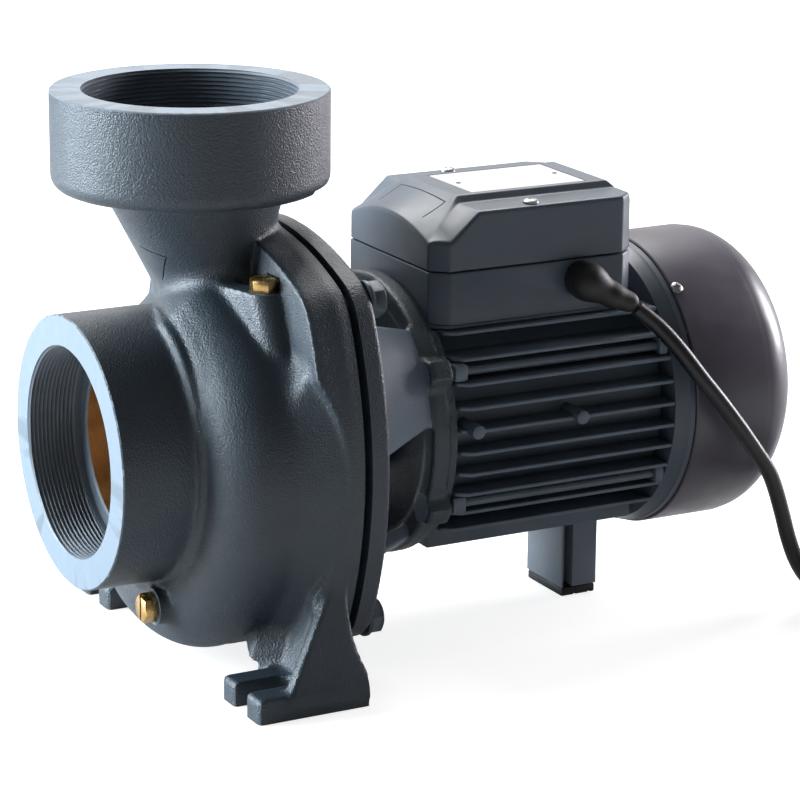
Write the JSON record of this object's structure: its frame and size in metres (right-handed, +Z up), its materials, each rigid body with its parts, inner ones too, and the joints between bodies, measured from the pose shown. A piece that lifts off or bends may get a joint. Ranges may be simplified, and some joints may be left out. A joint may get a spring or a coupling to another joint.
{
  "type": "centrifugal water pump",
  "caption": "Close-coupled centrifugal water pump: cast volute with large threaded ports, finned motor, terminal box, fan cover and mains lead.",
  "frame": {"origin": "centre of the pump's box on the floor, without its lead", "axes": "+X from the suction port along the shaft to the fan cover, +Z up, the discharge port opens up"},
  "size_m": [0.5632, 0.3005, 0.308],
  "materials": {
    "casting": "painted, fine cast texture, satin slate blue",
    "bracket_paint": "painted casting, satin light slate blue",
    "frame_paint": "painted aluminium, semi-gloss dark slate",
    "box_plastic": "moulded plastic, fine satin grain",
    "cover_paint": "satin dark grey with a purple cast",
    "rubber": "matt black",
    "cord_rubber": "satin black rubber sheath",
    "steel": "turned or ground steel",
    "dark_steel": "painted or blackened steel",
    "brass": "machined or cast brass",
    "copper": "enamelled copper wire, varnished",
    "gasket": "matt black fibre and rubber",
    "fan_plastic": "natural nylon",
    "label": "blank brushed plate",
    "ceramic": "lapped ceramic",
    "foot_metal": "painted cast aluminium, satin"
  },
  "bodies": {
    "housing": {"box_cover_screw_1": "steel", "box_cover_screw_2": "steel", "cable_boot": "rubber", "casing_gasket": "gasket", "cord_coil": "cord_rubber", "cord_tail": "cord_rubber", "drain_plug": "brass", "fan_cover": "cover_paint", "fan_cover_screw_1": "steel", "fan_cover_screw_2": "steel", "flange_bolt_1": "dark_steel", "flange_bolt_2": "dark_steel", "flange_bolt_3": "dark_steel", "flange_bolt_4": "dark_steel", "foot_pad": "rubber", "foot_screw": "steel", "front_bearing_outer_ring": "steel", "label_plate": "label", "motor_bracket": "bracket_paint", "motor_foot": "foot_metal", "motor_frame": "frame_paint", "power_cord": "cord_rubber", "power_plug": "cord_rubber", "rear_bearing_outer_ring": "steel", "rear_end_shield": "bracket_paint", "run_capacitor": "dark_steel", "seal_seat": "ceramic", "stator_core": "dark_steel", "stator_winding": "copper", "terminal_block": "fan_plastic", "terminal_box_base": "box_plastic", "terminal_box_cover": "box_plastic", "terminal_box_gasket": "gasket", "tie_rod_1": "steel", "tie_rod_2": "steel", "tie_rod_3": "steel", "tie_rod_4": "steel", "vent_plug": "brass", "volute_casing": "casting", "wave_washer": "steel"},
    "rotor": {"shaft": "steel", "impeller_key": "steel", "rotor_core": "steel", "impeller": "brass", "impeller_washer": "steel", "impeller_nut": "steel", "seal_rotary": "dark_steel", "slinger_ring": "rubber", "front_bearing_inner_ring": "steel", "rear_bearing_inner_ring": "steel", "cooling_fan": "fan_plastic", "fan_clip": "steel"},
    "front_cage": {"front_bearing_ball_cage": "steel"},
    "rear_cage": {"rear_bearing_ball_cage": "steel"}
  },
  "joints": [
    {"name": "rotor_spin", "type": "hinge", "parent": "housing", "child": "rotor", "pos_m": [-0.05445, 0, 0.12], "axis": [1, 0, 0], "continuous": true},
    {"name": "front_cage_spin", "type": "hinge", "parent": "housing", "child": "front_cage", "pos_m": [-0.0208, 0, 0.12], "axis": [1, 0, 0], "continuous": true},
    {"name": "rear_cage_spin", "type": "hinge", "parent": "housing", "child": "rear_cage", "pos_m": [0.11955, 0, 0.12], "axis": [1, 0, 0], "continuous": true}
  ],
  "couplings": [
    {"joint": "front_cage_spin", "follows": "rotor_spin", "ratio": 0.4205},
    {"joint": "rear_cage_spin", "follows": "rotor_spin", "ratio": 0.4089}
  ]
}
